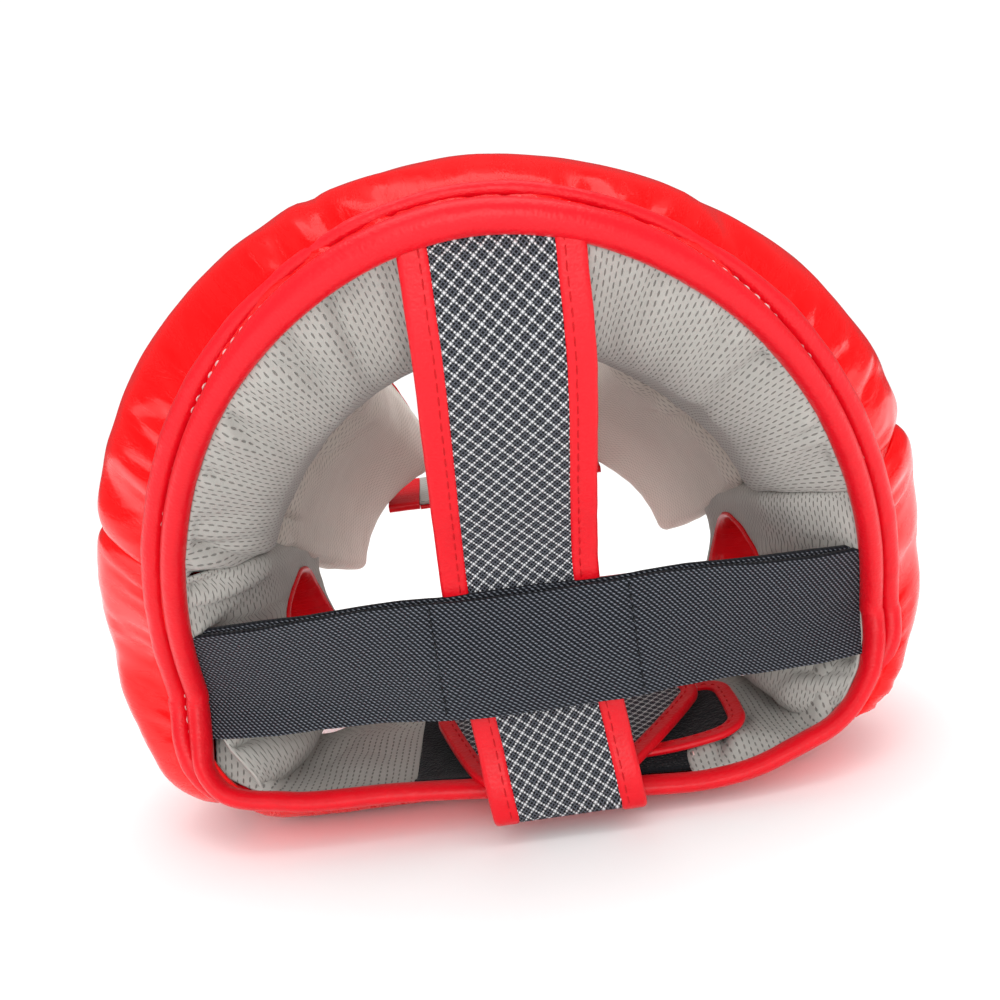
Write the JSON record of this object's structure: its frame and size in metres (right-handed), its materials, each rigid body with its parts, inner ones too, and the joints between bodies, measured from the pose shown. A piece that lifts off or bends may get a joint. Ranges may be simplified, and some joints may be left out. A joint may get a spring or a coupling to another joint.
{
  "type": "boxing headgear",
  "caption": "Padded boxing headgear lying on its back, with forehead, ear and cheek pads, elastic crown band, adjustable mesh crown strap and hook-and-loop chin strap.",
  "frame": {"origin": "centre of the bottom face of the bounding box, where the back of the headgear rests", "axes": "+X is the wearer's right and the widest direction, +Y runs from the crown to the chin, +Z runs from the back of the head to the face"},
  "size_m": [0.258, 0.2374, 0.192],
  "materials": {
    "red_leather": "glossy synthetic leather, puckered along its seams",
    "red_binding": "satin rolled synthetic leather binding",
    "mesh_lining": "warm grey perforated mesh knit",
    "foam": "closed-cell foam, hidden inside the covers",
    "spacer_mesh": "black spacer mesh with a fine white diamond stitch",
    "loop_fabric": "black brushed loop fabric",
    "hook_tape": "black hook tape",
    "elastic_webbing": "dark slate ribbed elastic webbing"
  },
  "bodies": {
    "shell": {"brow_binding": "red_binding", "cheek_core_left": "foam", "cheek_core_right": "foam", "cheek_cover_left": "red_leather", "cheek_cover_right": "red_leather", "cheek_lining_left": "mesh_lining", "cheek_lining_right": "mesh_lining", "chin_anchor_strap": "red_leather", "chin_loop_patch": "loop_fabric", "crown_binding": "red_binding", "crown_strap": "spacer_mesh", "crown_welt": "red_binding", "ear_ring_left": "red_leather", "ear_ring_right": "red_leather", "elastic_back": "elastic_webbing", "elastic_front": "elastic_webbing", "forehead_core": "foam", "forehead_cover": "red_leather", "forehead_lining": "mesh_lining", "neck_binding": "red_binding", "rear_core": "foam", "rear_cover": "red_leather", "rear_lining_left": "mesh_lining", "rear_lining_right": "mesh_lining", "rear_loop_panel": "loop_fabric", "side_core_left": "foam", "side_core_right": "foam", "side_cover_left": "red_leather", "side_cover_right": "red_leather", "side_lining_left": "mesh_lining", "side_lining_right": "mesh_lining", "strap_piping_left": "red_binding", "strap_piping_right": "red_binding"},
    "strap_tail": {"strap_tail": "spacer_mesh", "strap_tail_piping": "red_binding", "strap_end_flap": "loop_fabric", "strap_end_binding": "red_binding"},
    "chin_strap": {"chin_strap": "red_leather", "chin_strap_lining": "mesh_lining", "chin_hook_patch": "hook_tape"}
  },
  "joints": [
    {"name": "strap_tail_lift", "type": "hinge", "parent": "shell", "child": "strap_tail", "pos_m": [0, -0.0652, 0.0126], "axis": [1, 0, 0], "range_deg": [0, 55]},
    {"name": "chin_strap_peel", "type": "hinge", "parent": "shell", "child": "chin_strap", "pos_m": [-0.038, 0.0868, 0.085], "axis": [0, 0.9659, 0.2588], "range_deg": [0, 100]}
  ]
}
